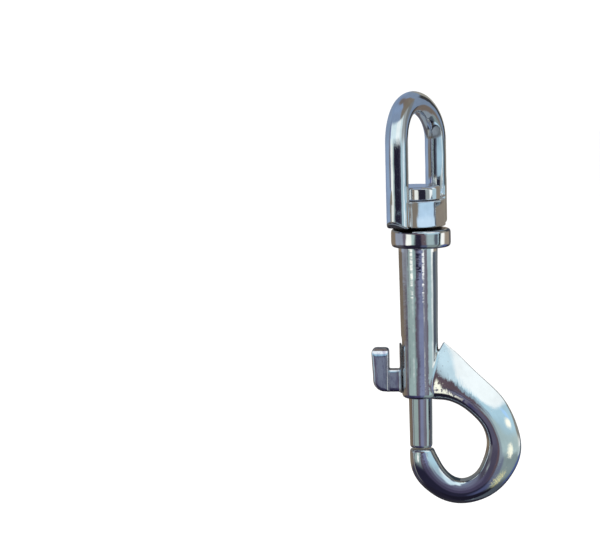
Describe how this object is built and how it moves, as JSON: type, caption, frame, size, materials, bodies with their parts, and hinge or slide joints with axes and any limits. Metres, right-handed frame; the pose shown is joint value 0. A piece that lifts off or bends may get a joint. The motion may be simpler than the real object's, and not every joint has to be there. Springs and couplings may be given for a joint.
{
  "type": "swivel bolt snap",
  "caption": "Plated snap hook with a swivelling oblong eye, a barrel that ends in a bowed hook, and a spring-loaded sliding bolt with a thumb lever.",
  "frame": {"origin": "middle of the eye's clear opening, on the swivel axis", "axes": "+Z along the barrel's and swivel's axis towards the eye, +X towards the side the hook bows out to, +Y across the hook"},
  "size_m": [0.0363, 0.0204, 0.1013],
  "materials": {
    "body_plating": "polished plating on a cast surface with slight ripples and pits",
    "cap_plating": "polished plating",
    "stud_plating": "polished plating",
    "eye_plating": "polished plating on a cast surface",
    "bolt_plating": "polished plating with fine drawn marks",
    "lever_plating": "polished plating on a cast surface",
    "spring_steel": "drawn wire"
  },
  "bodies": {
    "body": {"hook_body": "body_plating", "end_cap": "cap_plating", "swivel_stud": "stud_plating", "return_spring": "spring_steel"},
    "eye": {"swivel_eye": "eye_plating"},
    "gate": {"bolt": "bolt_plating", "thumb_lever": "lever_plating"}
  },
  "joints": [
    {"name": "eye_swivel", "type": "hinge", "parent": "body", "child": "eye", "pos_m": [0, 0, -0.0155], "axis": [0, 0, 1], "continuous": true},
    {"name": "bolt_slide", "type": "slide", "parent": "body", "child": "gate", "axis": [0, 0, 1], "range_m": [0, 0.01], "stiffness_N_per_m": 350, "springref_m": -0.009, "deforming": ["return_spring"]}
  ]
}
